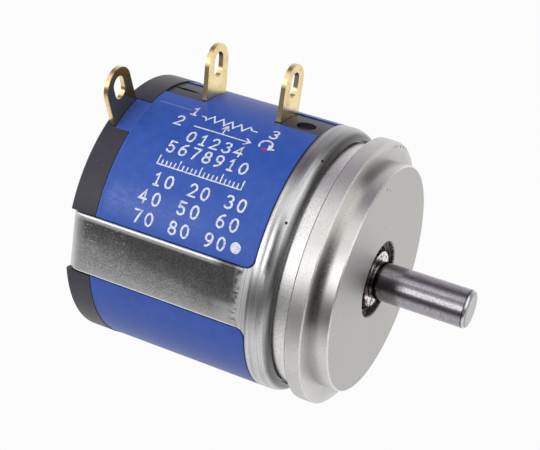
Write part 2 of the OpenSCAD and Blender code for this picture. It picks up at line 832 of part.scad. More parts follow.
mounting_flange();
front_outer_race();
front_balls();
front_cage();
front_inner_race();
clip_shim();
shaft_clip();
shaft();
front_spacer();
strap_clip();
housing();
label();
rear_cover();
terminal_1();
terminal_2();
terminal_3();
resistance_element();
rotor_hub();
contact_carriage();
wiper_contact();
collector_rod();
slip_ring();
collector_brush();
rear_spacer();
rear_outer_race();
rear_balls();
rear_cage();
rear_inner_race();
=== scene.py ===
"""Ten-turn rotary potentiometer: finishes, printed marks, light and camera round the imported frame."""
import functools
import json
import math
import random

import bmesh
import bpy
from mathutils import Matrix, Vector


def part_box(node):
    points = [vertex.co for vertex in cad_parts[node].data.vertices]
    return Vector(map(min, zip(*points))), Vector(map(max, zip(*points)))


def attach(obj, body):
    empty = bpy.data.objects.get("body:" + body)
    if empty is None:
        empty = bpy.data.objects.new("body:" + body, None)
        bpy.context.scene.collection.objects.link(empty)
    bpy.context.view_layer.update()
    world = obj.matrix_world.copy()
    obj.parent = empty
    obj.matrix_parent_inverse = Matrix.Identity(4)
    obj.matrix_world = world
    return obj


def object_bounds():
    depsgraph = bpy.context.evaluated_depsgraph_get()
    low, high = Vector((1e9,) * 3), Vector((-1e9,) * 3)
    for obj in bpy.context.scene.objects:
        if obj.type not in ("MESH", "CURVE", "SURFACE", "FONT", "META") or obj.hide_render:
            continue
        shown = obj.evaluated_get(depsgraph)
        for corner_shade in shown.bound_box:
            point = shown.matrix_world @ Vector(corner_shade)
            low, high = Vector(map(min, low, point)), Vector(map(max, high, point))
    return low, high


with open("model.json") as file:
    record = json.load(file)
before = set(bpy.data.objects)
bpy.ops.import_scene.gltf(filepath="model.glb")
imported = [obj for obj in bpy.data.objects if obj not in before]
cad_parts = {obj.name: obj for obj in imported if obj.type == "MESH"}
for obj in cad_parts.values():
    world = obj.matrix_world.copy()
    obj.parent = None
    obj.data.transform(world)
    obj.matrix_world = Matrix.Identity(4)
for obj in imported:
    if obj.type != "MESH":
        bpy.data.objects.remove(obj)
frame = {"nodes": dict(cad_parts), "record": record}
cad_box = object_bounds()
MM = 0.001
MICRON = 0.000001
# A round mark is full up to the first share of its radius and gone at the second
MARK_CORE = 0.7
MARK_RIM = 1.2

# Places read from the frame: a radius in metres, and two places along the shaft in millimetres
LABEL_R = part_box("label")[1].z
LABEL_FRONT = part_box("label")[1].x / MM
BODY_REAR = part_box("housing")[0].x / MM


def around(x, r, turn):
    """A point at x along the shaft, at radius r and turn in degrees from Z towards Y."""
    a = math.radians(turn)
    return Vector((x, r * math.sin(a), r * math.cos(a)))


def marks_at(*rows):
    """Round marks from rows of place along the shaft, distance from the axis, turn in degrees and size."""
    return tuple((around(x * MM, r * MM, turn), size * MM) for x, r, turn, size in rows)


def darker(colour, share):
    return tuple(c * share for c in colour)


def new_material(name, colour, roughness, metallic=0.0, **sockets):
    """A principled material with constant values set on its own sockets."""
    material = bpy.data.materials.new(name)
    material.use_nodes = True
    shader = material.node_tree.nodes["Principled BSDF"]
    shader.inputs["Base Color"].default_value = (*colour, 1.0)
    shader.inputs["Roughness"].default_value = roughness
    shader.inputs["Metallic"].default_value = metallic
    for socket, value in sockets.items():
        shader.inputs[socket.replace("_", " ")].default_value = value
    return material


class Nodes:
    """Short calls for building a node tree, and the place that it starts from."""

    def __init__(self, tree, space):
        self.tree = tree
        self.place = self.add("ShaderNodeTexCoord").outputs[space]
        split = self.add("ShaderNodeSeparateXYZ")
        self.link(self.place, split.inputs[0])
        self.x, self.y, self.z = split.outputs

    def add(self, kind, **settings):
        node = self.tree.nodes.new(kind)
        for key, value in settings.items():
            setattr(node, key, value)
        return node

    def link(self, source, target):
        self.tree.links.new(source, target)

    def feed(self, socket, value):
        """Links a socket, or sets it when the value is a plain number or a colour."""
        if hasattr(value, "is_output"):
            self.link(value, socket)
        else:
            socket.default_value = (*value, 1.0) if isinstance(value, tuple) else value

    def math(self, operation, a, b=0.0):
        node = self.add("ShaderNodeMath", operation=operation)
        for socket, value in zip(node.inputs, (a, b)):
            self.feed(socket, value)
        return node.outputs[0]

    def times(self, *shades):
        return functools.reduce(lambda a, b: self.math("MULTIPLY", a, b), shades)

    def plus(self, *shades):
        return functools.reduce(lambda a, b: self.math("ADD", a, b), shades)

    def greatest(self, *shades):
        return functools.reduce(lambda a, b: self.math("MAXIMUM", a, b), shades)

    def share(self, value, low, high):
        """How far a value has come from low to high, from nought to one."""
        node = self.add("ShaderNodeMapRange")
        node.inputs["From Min"].default_value = low
        node.inputs["From Max"].default_value = high
        self.link(value, node.inputs["Value"])
        return node.outputs["Result"]

    def ramp(self, value, *stops):
        """Maps a value through (position, shade) stops; a shade is a grey or a colour."""
        node = self.add("ShaderNodeValToRGB")
        points = node.color_ramp.elements
        while len(points) < len(stops):
            points.new(0.5)
        for point, (position, shade) in zip(points, stops):
            point.position = position
            point.color = (*shade, 1.0) if isinstance(shade, tuple) else (shade, shade, shade, 1.0)
        self.link(value, node.inputs[0])
        return node.outputs["Color"]

    def by(self, value, *stops):
        """Maps a value through (value, shade) stops in the value's own unit."""
        low, high = stops[0][0], stops[-1][0]
        placed = (((at - low) / (high - low), shade) for at, shade in stops)
        return self.ramp(self.share(value, low, high), *placed)

    def mix(self, factor, a, b, blend="MIX"):
        node = self.add("ShaderNodeMix", data_type="RGBA", blend_type=blend)
        for socket, value in zip(("Factor", "A", "B"), (factor, a, b)):
            self.feed(node.inputs[socket], value)
        return node.outputs["Result"]

    def tinted(self, shade, tint):
        return self.mix(1.0, shade, tint, "MULTIPLY")

    def light(self, kind, colour):
        """An emission or background shader of one colour."""
        node = self.add(kind)
        self.feed(node.inputs["Color"], colour)
        node.inputs["Strength"].default_value = 1.0
        return node.outputs[0]

    def mix_shaders(self, factor, a, b):
        node = self.add("ShaderNodeMixShader")
        for socket, value in zip(node.inputs, (factor, a, b)):
            self.link(value, socket)
        return node.outputs[0]

    def seen_directly(self, light_path):
        """One on rays from the camera, also on those that went through a clear piece."""
        rays = light_path.outputs
        return self.greatest(rays["Is Camera Ray"], rays["Is Transmission Ray"])


class Surface(Nodes):
    """A material's nodes in front of its principled shader."""

    def __init__(self, material):
        super().__init__(material.node_tree, "Object")
        self.shader = self.tree.nodes["Principled BSDF"]

    def set(self, socket, value):
        self.feed(self.shader.inputs[socket], value)

    def vector(self, x, y, z):
        node = self.add("ShaderNodeCombineXYZ")
        for socket, value in zip(node.inputs, (x, y, z)):
            self.feed(socket, value)
        return node.outputs[0]

    def noise(self, scale, detail=2.0, rough=0.5, vector=None):
        node = self.add("ShaderNodeTexNoise")
        node.inputs["Scale"].default_value = scale
        node.inputs["Detail"].default_value = detail
        node.inputs["Roughness"].default_value = rough
        self.link(self.place if vector is None else vector, node.inputs["Vector"])
        return node.outputs["Fac"]

    def streaks(self, scales, detail, rough):
        """Noise with its own scale along each axis."""
        node = self.add("ShaderNodeVectorMath", operation="MULTIPLY")
        self.link(self.place, node.inputs[0])
        node.inputs[1].default_value = scales
        return self.noise(1.0, detail, rough, node.outputs[0])

    def bump(self, *layers):
        """Stacks bumps, each a height, its strength and its depth in micrometres."""
        normal = None
        for height, strength, depth in layers:
            node = self.add("ShaderNodeBump")
            node.inputs["Strength"].default_value = strength
            node.inputs["Distance"].default_value = depth * MICRON
            self.link(height, node.inputs["Height"])
            if normal is not None:
                self.link(normal, node.inputs["Normal"])
            normal = node.outputs["Normal"]
        self.link(normal, self.shader.inputs["Normal"])

    def in_mm(self, value):
        return self.math("DIVIDE", value, MM)

    def radius(self):
        return self.math("SQRT", self.plus(self.times(self.y, self.y), self.times(self.z, self.z)))

    def turn(self):
        """Angle round the shaft in degrees, from Z towards Y."""
        return self.math("DEGREES", self.math("ARCTAN2", self.y, self.z))

    def along(self, *stops):
        """Shade by place along the shaft in millimetres."""
        return self.by(self.in_mm(self.x), *stops)

    def round_shaft(self, *stops):
        """Shade by angle round the shaft in degrees."""
        return self.by(self.turn(), *stops)

    def spot(self, centre, radius):
        """One inside a small round mark, nought outside it."""
        gap = self.add("ShaderNodeVectorMath", operation="DISTANCE")
        self.link(self.place, gap.inputs[0])
        gap.inputs[1].default_value = centre
        return self.by(gap.outputs["Value"], (radius * MARK_CORE, 1.0), (radius * MARK_RIM, 0.0))

    def spots(self, marks):
        """Several round marks, each a centre and a radius."""
        return self.greatest(*(self.spot(*mark) for mark in marks))


# Front plate

# Painted highlight: where the plate's turned edges are painted bright to catch the light, by place along
# the shaft in millimetres
EDGE_HIGHLIGHT_ALONG = (
    (-1.40, 1.0), (-1.30, 1.0), (-1.27, 0.0), (-0.13, 0.0), (-0.10, 1.0), (-0.02, 1.0), (-0.004, 0.0),
    (1.46, 0.0), (1.48, 1.0), (1.575, 1.0), (1.585, 0.0),
)
# The same by distance from the axis: the edges of the pilot and the flange
EDGE_HIGHLIGHT_OUTSIDE = ((9.3, 0.0), (9.4, 1.0))
# The pilot's face, by place along the shaft
PILOT_FACE = ((1.575, 0.0), (1.585, 1.0))
# Painted shade in the bearing's bore, by distance from the axis
BORE_SHADE = ((3.24, 1.0), (3.29, 0.0))
# Painted shade in the corner before the flange, how dark it is: by turn, by distance from the axis and by
# place along it
CORNER_SHADE_ROUND = (
    (-180.0, 0.3), (-112.0, 0.1), (-100.0, 0.2), (-92.0, 0.7), (-80.0, 0.86), (-66.0, 0.88), (-58.0, 0.7),
    (-51.0, 0.25), (-44.0, 0.0), (-26.0, 0.0), (-16.0, 0.5), (20.0, 0.4), (180.0, 0.3),
)
CORNER_SHADE_OUT = ((9.5, 1.0), (9.9, 0.9), (10.4, 0.7), (10.6, 0.4), (11.0, 0.1))
CORNER_SHADE_ALONG = ((-0.05, 0.0), (-0.02, 1.0), (0.38, 1.0), (0.72, 0.0))
# Single dark pits and the chipped edge of the flange
PLATE_MARKS = marks_at(
    (-1.5, 11.1, -91.3, 0.10),
    (-1.7, 10.2, -107.7, 0.11),
    (0.0, 10.62, 13.0, 0.09),
    (0.0, 10.68, 15.5, 0.12),
    (0.0, 10.72, 18.5, 0.10),
    (0.0, 10.78, 22.5, 0.13),
    (0.0, 10.86, 27.0, 0.11),
    (0.0, 10.96, 31.0, 0.12),
    (0.0, 11.04, 35.0, 0.09),
    (1.5875, 8.7, -14.0, 0.09),
    (1.5875, 8.2, -9.0, 0.06),
)


def plate_metal():
    """Lathe-turned metal: fine rings that follow the axis, speckled grain, soft stains and single pits,
    with painted highlights on the edges and painted shade in the bore and in the corner before the flange.
    """
    colour = (0.80, 0.79, 0.765)
    edge_highlight_white = (0.98, 0.97, 0.96)
    bore_painted_shade = (0.030, 0.022, 0.026)
    roughness = 0.36
    material = new_material("plate_metal", colour, roughness, 1.0)
    g = Surface(material)
    rings = g.noise(26000.0, 3.0, 0.6, g.vector(g.x, g.radius(), 0.0))
    grain = g.noise(11000.0, 2.0, 0.7)
    stains = g.noise(320.0, 4.0, 0.6)
    pits = g.ramp(g.noise(2600.0, 1.0, 0.4), (0.78, 0.0), (0.82, 0.7))
    dents = g.greatest(pits, g.spots(PLATE_MARKS))
    from_axis = g.in_mm(g.radius())

    tint = g.mix(g.ramp(stains, (0.35, 0.0), (0.7, 1.0)), colour, darker(colour, 0.88))
    tint = g.mix(g.along(*PILOT_FACE), tint, darker(colour, 0.74))
    # Painted highlight along the turned edges of the pilot and the flange
    tint = g.mix(g.times(g.by(from_axis, *EDGE_HIGHLIGHT_OUTSIDE), g.along(*EDGE_HIGHLIGHT_ALONG)), tint, edge_highlight_white)
    # Painted shade: the bore's wall is painted nearly black, as it lies in shade
    tint = g.mix(g.by(from_axis, *BORE_SHADE), tint, bore_painted_shade)
    # Painted shade in the corner before the flange, stronger at some turns round it
    corner_shade = g.times(g.by(from_axis, *CORNER_SHADE_OUT), g.along(*CORNER_SHADE_ALONG), g.round_shaft(*CORNER_SHADE_ROUND))
    tint = g.mix(corner_shade, tint, darker(colour, 0.2))
    tint = g.mix(g.ramp(grain, (0.36, 1.0), (0.5, 0.0)), tint, darker(colour, 0.78))
    g.set("Base Color", g.mix(dents, tint, darker(colour, 0.15)))

    edge, side, face = roughness - 0.06, roughness - 0.15, roughness + 0.06
    smooth = g.along((0.0, edge), (0.1, side), (1.57, side), (1.58, face))
    g.set("Roughness", g.plus(smooth, g.times(rings, 0.10), g.times(stains, 0.06)))
    g.bump((rings, 0.08, 10), (grain, 0.16, 10), (dents, -0.5, 30))
    return material


# Shaft

# The brown stain where the shaft leaves the bearing: by place along it in millimetres, and round it
STAIN_ALONG = ((1.5, 1.0), (2.1, 0.75), (4.2, 0.0))
STAIN_ROUND = (
    (-180.0, 1.0), (-54.0, 1.0), (-47.0, 0.25), (-26.0, 0.25), (-18.0, 1.0), (180.0, 1.0),
)
# Painted shade: the dark patch below that stain, next to the flange
SHADE_PATCH_ALONG = ((1.5, 1.0), (3.4, 0.95), (4.5, 0.0))
SHADE_PATCH_ROUND = ((-96.0, 0.0), (-84.0, 0.9), (-60.0, 1.0), (-50.0, 0.0))
# Painted reflection: a dark line along the shaft
DARK_REFLECTION_LINE = ((-65.0, 0.0), (-60.0, 0.55), (-54.0, 0.6), (-49.0, 0.0))
# Painted light at the tip: a dark line of painted shade, a painted highlight at the edge and a darker end;
# each with its strength by place along the shaft and its colour
TIP_LIGHT_BANDS = (
    (((9.12, 0.0), (9.18, 0.9), (9.23, 0.9), (9.27, 0.0)), (0.06, 0.06, 0.07)),
    (((9.26, 0.0), (9.31, 1.0), (9.43, 1.0), (9.48, 0.0)), (0.72, 0.72, 0.74)),
    (((9.45, 0.0), (9.5, 0.8)), (0.36, 0.36, 0.38)),
)


def ground_shaft():
    """Ground steel shaft: dark speckled grain and a brown stain where it leaves the bearing, with painted
    shade next to the flange, a painted reflection line along it, and painted shade and highlight at the
    tip.
    """
    colour = (0.45, 0.43, 0.47)
    stain_brown = (0.10, 0.07, 0.06)
    painted_shade_dark = (0.07, 0.06, 0.07)
    material = new_material("shaft_steel", colour, 0.12, 1.0)
    g = Surface(material)
    grain = g.noise(9500.0, 2.0, 0.7)
    streaks = g.streaks((900.0, 7000.0, 7000.0), 3.0, 0.6)
    pits = g.ramp(g.noise(5200.0, 1.0, 0.4), (0.74, 0.0), (0.8, 0.6))
    blotches = g.ramp(g.noise(2400.0, 3.0, 0.6), (0.35, 0.4), (0.6, 1.0))

    tone = g.mix(g.ramp(grain, (0.38, 1.0), (0.54, 0.0)), colour, darker(colour, 0.56))
    tone = g.mix(g.ramp(streaks, (0.5, 0.0), (0.75, 0.5)), tone, darker(colour, 1.25))
    stain = g.times(g.along(*STAIN_ALONG), blotches, g.round_shaft(*STAIN_ROUND))
    tone = g.mix(stain, tone, stain_brown)
    # Painted shade on the shaft next to the flange
    tone = g.mix(g.times(g.along(*SHADE_PATCH_ALONG), g.round_shaft(*SHADE_PATCH_ROUND)), tone, painted_shade_dark)
    # Painted reflection of a dark band, as a line along the shaft
    tone = g.mix(g.round_shaft(*DARK_REFLECTION_LINE), tone, darker(colour, 0.25))
    # Painted shade and highlight at the tip of the shaft
    for stops, band_colour in TIP_LIGHT_BANDS:
        tone = g.mix(g.along(*stops), tone, band_colour)
    g.set("Base Color", g.mix(pits, tone, darker(colour, 0.3)))
    g.set("Roughness", g.plus(0.08, g.times(grain, 0.09)))
    g.bump((grain, 0.10, 10), (streaks, 0.06, 10), (pits, -0.4, 20))
    return material


# Small metal pieces

def plain_steel(name, colour, roughness):
    """Sheet or ground steel with a fine grain and faint scratches."""
    material = new_material(name, colour, roughness, 1.0)
    g = Surface(material)
    grain = g.noise(14000.0, 3.0, 0.6)
    scratches = g.ramp(g.streaks((700.0, 9000.0, 9000.0), 4.0, 0.6), (0.5, 0.0), (0.75, 1.0))
    g.set("Base Color", g.mix(g.noise(500.0), colour, darker(colour, 0.86)))
    g.set("Roughness", g.plus(roughness - 0.04, g.times(grain, 0.12)))
    g.bump((grain, 0.10, 10), (scratches, 0.06, 10))
    return material


def greased_steel(name, colour, roughness):
    """Bright steel with brown grease left in patches."""
    grease = (0.13, 0.08, 0.06)
    material = new_material(name, colour, roughness, 1.0)
    g = Surface(material)
    grain = g.noise(12000.0, 2.0, 0.6)
    patches = g.ramp(g.noise(1900.0, 3.0, 0.6), (0.48, 0.0), (0.56, 1.0))
    g.set("Base Color", g.mix(patches, colour, grease))
    g.set("Roughness", g.plus(roughness, g.times(patches, 0.25)))
    g.bump((grain, 0.12, 10), (patches, 0.3, 20))
    return material


# Painted reflection: where the rear face of terminal 2 is painted dark brown, as it mirrors the dark body,
# by place along the shaft in millimetres
DARK_REFLECTION_FACE = ((-20.2, 0.0), (-20.12, 1.0), (-20.0, 1.0), (-19.9, 0.0))


def gold_plate():
    """Gold-plated sheet with small dents and dark specks; the face of terminal 2 is painted dark as a
    reflection of the body.
    """
    colour = (1.0, 0.82, 0.46)
    cloudy = (0.80, 0.60, 0.30)
    scratched = (0.45, 0.33, 0.18)
    reflection_brown = (0.58, 0.35, 0.11)
    speck_brown = (0.25, 0.18, 0.1)
    material = new_material("gold_plate", colour, 0.2, 1.0)
    g = Surface(material)
    cloud = g.noise(700.0, 3.0, 0.6)
    specks = g.ramp(g.noise(3200.0, 2.0, 0.6), (0.66, 0.0), (0.74, 1.0))
    scratches = g.ramp(g.streaks((9000.0, 900.0, 7000.0), 3.0, 0.7), (0.6, 0.0), (0.7, 1.0))
    dents = g.noise(1300.0, 2.0, 0.5)

    tint = g.mix(g.ramp(cloud, (0.35, 0.0), (0.7, 1.0)), colour, cloudy)
    tint = g.mix(g.times(scratches, 0.4), tint, scratched)
    # Painted reflection on the face of terminal 2
    dark_reflection = g.times(g.along(*DARK_REFLECTION_FACE), g.ramp(cloud, (0.2, 0.75), (0.7, 1.0)))
    tint = g.mix(dark_reflection, tint, reflection_brown)
    g.set("Base Color", g.mix(specks, tint, speck_brown))
    g.set("Roughness", g.plus(0.16, g.times(cloud, 0.14)))
    g.bump((dents, 0.22, 40), (scratches, -0.3, 10), (specks, -0.4, 10))
    return material


# Strap clip

# Painted highlights and shade across the ring by place along the shaft in millimetres: bright lines where
# the curled lip catches the light and dark in the gap before the flange; above, and beside the strap
RING_LIGHT_UPPER = (
    (-4.72, 0.50), (-4.52, 0.95), (-4.25, 0.72), (-4.0, 0.86), (-3.6, 0.84), (-3.3, 0.92), (-3.15, 0.52),
    (-3.0, 0.22), (-2.8, 0.28),
)
RING_LIGHT_BESIDE = (
    (-4.72, 0.80), (-4.52, 0.98), (-4.25, 0.30), (-4.02, 0.98), (-3.88, 0.60), (-3.72, 0.20), (-3.6, 0.26),
    (-3.3, 0.85), (-3.15, 0.42), (-3.0, 0.25), (-2.8, 0.30),
)
# Where the ring is beside the strap, and how bright its painted light is, by angle round the shaft
BESIDE_ROUND = ((-78.0, 0.0), (-73.0, 1.0), (-60.0, 1.0), (-50.0, 0.0))
RING_LIGHT_ROUND = (
    (-180.0, 0.8), (-62.0, 1.0), (-44.0, 0.88), (-30.0, 0.66), (-14.0, 0.58), (20.0, 0.7), (180.0, 0.8),
)
RING_PITS = marks_at((-3.17, 10.98, -23.8, 0.13), (-3.4, 11.1, -55.5, 0.12))
# How far the ring's painted highlight lines wander along the shaft, in millimetres
HIGHLIGHT_WANDER = 0.16
# Where the roots end: at the ring, and at the dark straps
RING_FROM = ((-4.85, 0.0), (-4.7, 1.0))
STRAP_UNTIL = ((-5.9, 1.0), (-5.1, 0.0))
# The short dark steps where a strap begins
STEPS_ALONG = ((-6.4, 0.0), (-6.1, 1.0), (-5.7, 1.0), (-5.4, 0.0))
# Painted reflection on the straps, dark above and light below: shades by height in millimetres, the place
# along the shaft where they lie so, and how far they sink for each millimetre towards the front
STRAP_REFLECTION_TONES = ((-2.2, 0.88), (-1.0, 0.74), (0.0, 0.36), (1.2, 0.23), (2.6, 0.23))
STRAP_REFLECTION_AT = -12.0
STRAP_SLOPE = 0.11
# Painted highlights on the edges, the folds and the feet of the straps, and their rubbed places, by height
# or by place along the shaft
LOW_EDGE_HIGHLIGHT = ((-2.4, 1.0), (-2.1, 0.55), (-1.8, 0.3), (-1.3, 0.0))
HIGH_EDGE_HIGHLIGHT = ((2.0, 0.0), (2.2, 1.0))
HIGH_EDGE_HIGHLIGHT_ALONG = ((-8.3, 1.0), (-7.2, 0.0))
RUBBED_ALONG = (
    (-20.0, 1.0), (-18.6, 1.0), (-18.2, 0.15), (-17.3, 0.2), (-16.9, 0.7), (-15.6, 0.5), (-15.2, 0.0),
)
FOLD_HIGHLIGHT_ALONG = ((-20.6, 0.8), (-19.9, 0.6), (-19.4, 0.0))
FOOT_HIGHLIGHT_ALONG = ((-7.8, 0.0), (-6.4, 1.0))
FOOT_HIGHLIGHT_HEIGHT = ((-2.2, 0.9), (-1.0, 0.7), (-0.5, 0.0))


def ring_shade(g, lines, speckle):
    """Painted highlights and shade round the ring that wander a little and differ beside the strap, with
    streaks, speckle and pits.
    """
    streak_tint = (0.70, 0.69, 0.72)
    speckle_tint = (0.6, 0.6, 0.6)
    pit_black = (0.01, 0.01, 0.01)
    waves = g.streaks((0.0, 260.0, 260.0), 2.0, 0.5)
    across = g.plus(g.in_mm(g.x), g.times(g.math("SUBTRACT", waves, 0.5), HIGHLIGHT_WANDER))
    # Painted highlights and shade on the ring
    shade = g.mix(g.round_shaft(*BESIDE_ROUND), g.by(across, *RING_LIGHT_UPPER), g.by(across, *RING_LIGHT_BESIDE))
    shade = g.tinted(shade, g.round_shaft(*RING_LIGHT_ROUND))
    shade = g.mix(g.ramp(lines, (0.35, 0.8), (0.6, 0.0)), shade, g.tinted(shade, streak_tint))
    shade = g.mix(g.ramp(speckle, (0.36, 0.5), (0.5, 0.0)), shade, g.tinted(shade, speckle_tint))
    return g.mix(g.spots(RING_PITS), shade, pit_black)


def root_shade(g, lines):
    """The roots are brushed round the body, with short dark steps where a strap begins."""
    brushed_dark, brushed_bright = (0.62, 0.61, 0.62), (0.96, 0.95, 0.94)
    step_dark = (0.16, 0.16, 0.16)
    brushed = g.mix(g.ramp(lines, (0.35, 0.0), (0.65, 1.0)), brushed_dark, brushed_bright)
    steps = g.ramp(g.streaks((1300.0, 0.0, 2900.0), 2.0, 0.6), (0.54, 0.0), (0.60, 1.0))
    return g.mix(g.times(steps, g.along(*STEPS_ALONG)), brushed, step_dark)


def flat_shade(g, cloud, speckle):
    """Painted reflection: the straps are darker above and lighter below towards the rear, with painted
    highlights on the edges, the fold and the foot; the rear is rubbed with bright scuffs.
    """
    speckle_tint = (0.55, 0.55, 0.57)
    highlight_white = (0.95, 0.95, 0.96)
    scuff_bright = (0.95, 0.95, 0.95)
    fold_highlight = (0.75, 0.75, 0.75)
    height = g.in_mm(g.z)
    slope = g.times(g.plus(g.in_mm(g.x), -STRAP_REFLECTION_AT), STRAP_SLOPE)
    reflection_at = g.plus(height, slope, g.times(g.math("SUBTRACT", cloud, 0.5), 1.2))
    # Painted reflection: darker above, lighter below
    tone = g.by(reflection_at, *STRAP_REFLECTION_TONES)
    tone = g.mix(g.ramp(speckle, (0.40, 1.0), (0.62, 0.0)), tone, g.tinted(tone, speckle_tint))
    high_edge_highlight = g.times(g.by(height, *HIGH_EDGE_HIGHLIGHT), g.along(*HIGH_EDGE_HIGHLIGHT_ALONG))
    # Painted highlights on the low and high edges
    tone = g.mix(g.greatest(g.by(height, *LOW_EDGE_HIGHLIGHT), high_edge_highlight), tone, highlight_white)
    scuffs = g.ramp(g.streaks((3500.0, 2000.0, 5200.0), 4.0, 0.75), (0.58, 0.0), (0.63, 1.0))
    tone = g.mix(g.times(scuffs, g.along(*RUBBED_ALONG)), tone, scuff_bright)
    # Painted highlight on the fold
    tone = g.mix(g.along(*FOLD_HIGHLIGHT_ALONG), tone, fold_highlight)
    # Painted highlight on the foot of the strap
    return g.mix(g.times(g.along(*FOOT_HIGHLIGHT_ALONG), g.by(height, *FOOT_HIGHLIGHT_HEIGHT)), tone, highlight_white)


def strap_steel():
    """Sheet steel: streaked round the ring with painted highlights and shade, brushed at the roots,
    speckled on the straps with a painted reflection that makes them dark.
    """
    material = new_material("strap_steel", (0.5, 0.5, 0.51), 0.3, 1.0)
    g = Surface(material)
    speckle = g.noise(11000.0, 2.0, 0.75)
    cloud = g.noise(800.0, 3.0, 0.6)
    lines = g.noise(1.0, 3.0, 0.65, g.vector(g.times(g.x, 9000.0), g.times(g.turn(), 0.035), 0.0))
    strap = g.by(g.plus(g.in_mm(g.x), g.times(cloud, 0.8)), *STRAP_UNTIL)
    ring = g.along(*RING_FROM)
    body = g.mix(ring, root_shade(g, lines), ring_shade(g, lines, speckle))
    g.set("Base Color", g.mix(strap, body, flat_shade(g, cloud, speckle)))
    root = g.times(g.math("SUBTRACT", 1.0, strap), g.math("SUBTRACT", 1.0, ring))
    g.set("Roughness", g.plus(0.26, g.times(strap, speckle, 0.28), g.times(root, 0.24)))
    g.bump((lines, 0.16, 10), (g.times(speckle, strap), 0.30, 10))
    return material


# Mouldings, label and print

def moulding(name, colour, roughness):
    """Moulded plastic with a fine spark texture, dust and faint rub marks."""
    dust_grey = (0.3, 0.3, 0.3)
    rubbed = tuple(min(1.0, c * 2.5 + 0.02) for c in colour)
    material = new_material(name, colour, roughness)
    g = Surface(material)
    spark = g.noise(7000.0, 3.0, 0.6)
    cloud = g.noise(500.0, 3.0, 0.6)
    dust = g.ramp(g.noise(4200.0, 2.0, 0.5), (0.70, 0.0), (0.78, 1.0))
    rub = g.ramp(g.streaks((2500.0, 500.0, 2500.0), 3.0, 0.6), (0.55, 0.0), (0.8, 1.0))
    base = g.mix(g.times(rub, 0.25), colour, rubbed)
    g.set("Base Color", g.mix(g.times(dust, 0.25), base, dust_grey))
    g.set("Roughness", g.plus(roughness - 0.05, g.times(cloud, 0.14)))
    g.bump((spark, 0.18, 20), (cloud, 0.08, 100))
    return material


# Marks on the label: a red speck, a pale scratch, and a scuffed patch with a painted sheen
RED_SPECK = (around(-7.8 * MM, LABEL_R, -28.1), 0.17 * MM)
SCRATCH_ALONG = ((-18.3, 0.0), (-18.2, 1.0), (-15.4, 1.0), (-15.2, 0.0))
SCRATCH_ROUND = ((-18.45, 0.0), (-18.1, 1.0), (-17.75, 0.0))
SCUFF_SHEEN_ALONG = ((-18.6, 0.0), (-17.8, 1.0), (-16.4, 0.9), (-13.5, 0.6), (-10.5, 0.5), (-7.5, 0.0))
SCUFF_SHEEN_ROUND = ((-75.5, 0.0), (-66.5, 1.0), (-57.5, 0.0))
# The pale line where the label's tab leaves the body, and the painted shadow along the label's cut edge at
# the front
TAB_LINE = (
    (BODY_REAR - 0.02, 0.35), (BODY_REAR + 0.02, 0.8), (BODY_REAR + 0.10, 0.8), (BODY_REAR + 0.14, 0.0),
)
CUT_EDGE_SHADOW = ((LABEL_FRONT - 0.13, 0.0), (LABEL_FRONT - 0.08, 0.95))


def label_film():
    """Blue printed film: slight mottling, fine wrinkles, a scratch and a scuffed patch with a painted sheen
    near the strap, and a painted shadow along its cut front edge.
    """
    colour = (0.020, 0.070, 0.36)
    mottled = (0.034, 0.095, 0.42)
    scuffed_sheen_blue = (0.22, 0.30, 0.62)
    scratched = (0.30, 0.38, 0.72)
    tab_blue = (0.050, 0.120, 0.46)
    cut_edge_shadow_blue = (0.003, 0.006, 0.030)
    speck_red = (0.45, 0.03, 0.06)
    material = new_material("blue_label", colour, 0.36, Specular_IOR_Level=0.35)
    g = Surface(material)
    mottle = g.noise(1100.0, 4.0, 0.65)
    fine = g.noise(9000.0, 2.0, 0.6)
    wrinkles = g.streaks((350.0, 1500.0, 1500.0), 3.0, 0.55)
    scuffs = g.ramp(g.streaks((1500.0, 4000.0, 4000.0), 4.0, 0.7), (0.42, 0.35), (0.66, 1.0))

    tint = g.mix(g.ramp(mottle, (0.3, 0.0), (0.75, 1.0)), colour, mottled)
    # Scuffs with a painted sheen across the patch near the strap
    scuff_sheen_patch = g.times(g.along(*SCUFF_SHEEN_ALONG), g.round_shaft(*SCUFF_SHEEN_ROUND))
    tint = g.mix(g.times(scuff_sheen_patch, scuffs, 0.45), tint, scuffed_sheen_blue)
    scratch = g.times(g.along(*SCRATCH_ALONG), g.round_shaft(*SCRATCH_ROUND))
    tint = g.mix(g.times(scratch, 0.6), tint, scratched)
    tint = g.mix(g.along(*TAB_LINE), tint, tab_blue)
    # Painted shadow along the label's cut front edge
    tint = g.mix(g.along(*CUT_EDGE_SHADOW), tint, cut_edge_shadow_blue)
    g.set("Base Color", g.mix(g.spot(*RED_SPECK), tint, speck_red))
    g.set("Roughness", g.plus(0.30, g.times(mottle, 0.16)))
    g.bump((wrinkles, 0.10, 30), (fine, 0.08, 10))
    return material


def print_ink():
    """White stamped ink that is rough and worn through in spots."""
    colour = (0.72, 0.75, 0.82)
    worn_blue = (0.12, 0.19, 0.50)
    material = new_material("white_print", colour, 0.6)
    g = Surface(material)
    worn = g.ramp(g.noise(5200.0, 3.0, 0.75), (0.47, 0.0), (0.62, 1.0))
    cloud = g.ramp(g.noise(900.0, 2.0, 0.5), (0.35, 0.45), (0.65, 1.0))
    g.set("Base Color", g.mix(g.times(worn, cloud, 0.85), colour, worn_blue))
    g.bump((worn, -0.2, 10))
    return material


